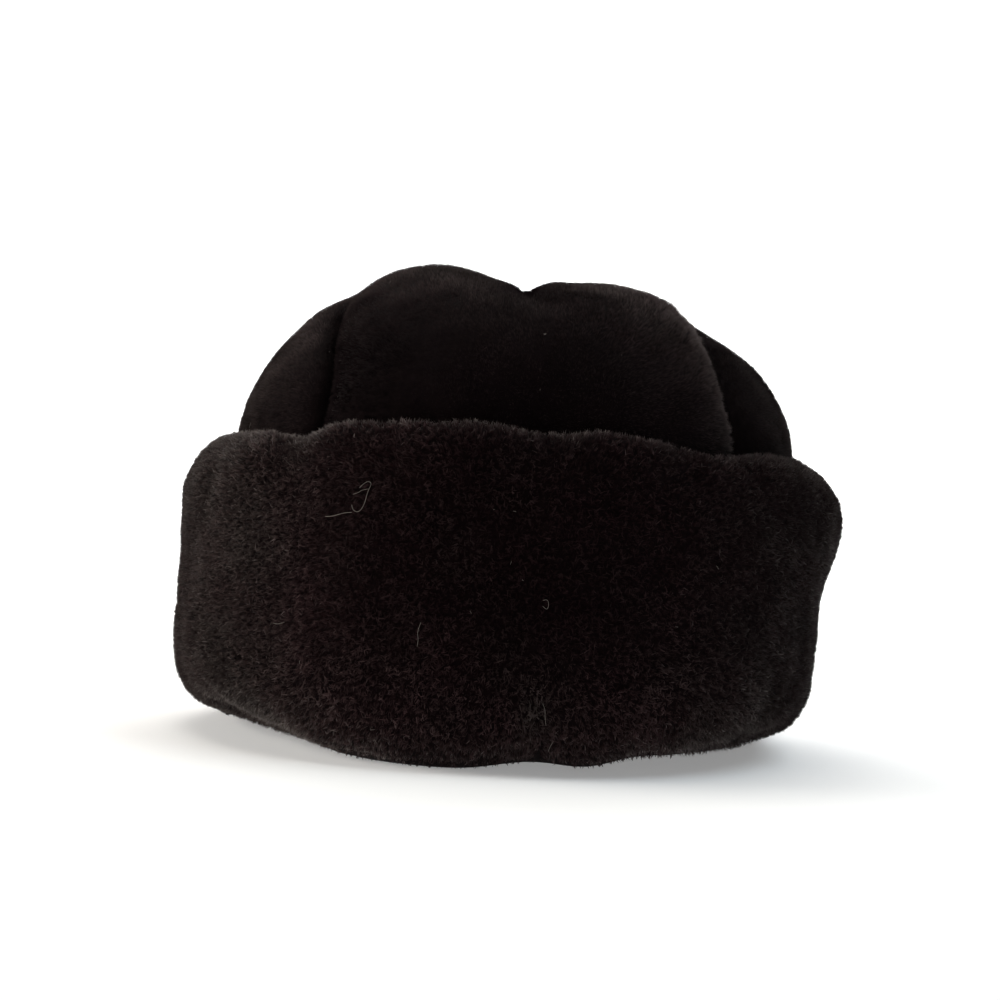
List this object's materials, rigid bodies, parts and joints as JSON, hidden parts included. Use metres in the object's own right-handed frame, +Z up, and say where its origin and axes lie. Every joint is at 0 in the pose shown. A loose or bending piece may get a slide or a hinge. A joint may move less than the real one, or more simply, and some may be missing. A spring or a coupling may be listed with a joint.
{
  "type": "hat",
  "caption": "Shearling hat with a rounded, softly dented wool crown of puffed gores and a deep, thick turned-up wool cuff.",
  "frame": {"origin": "centre of the outline in plan, on the surface that the rim rests on", "axes": "+Z up through the crown, +Y from the side that the picture shows to the other, +X to that view's right"},
  "size_m": [0.2246, 0.2438, 0.1571],
  "materials": {
    "crown_wool": "fine clipped sheep's wool, black with a brown cast",
    "cuff_wool": "curly clipped sheep's wool, black with a brown cast"
  },
  "bodies": {
    "root": {"crown_front": "crown_wool", "crown_right": "crown_wool", "crown_back": "crown_wool", "crown_left": "crown_wool", "cuff": "cuff_wool"}
  },
  "joints": []
}
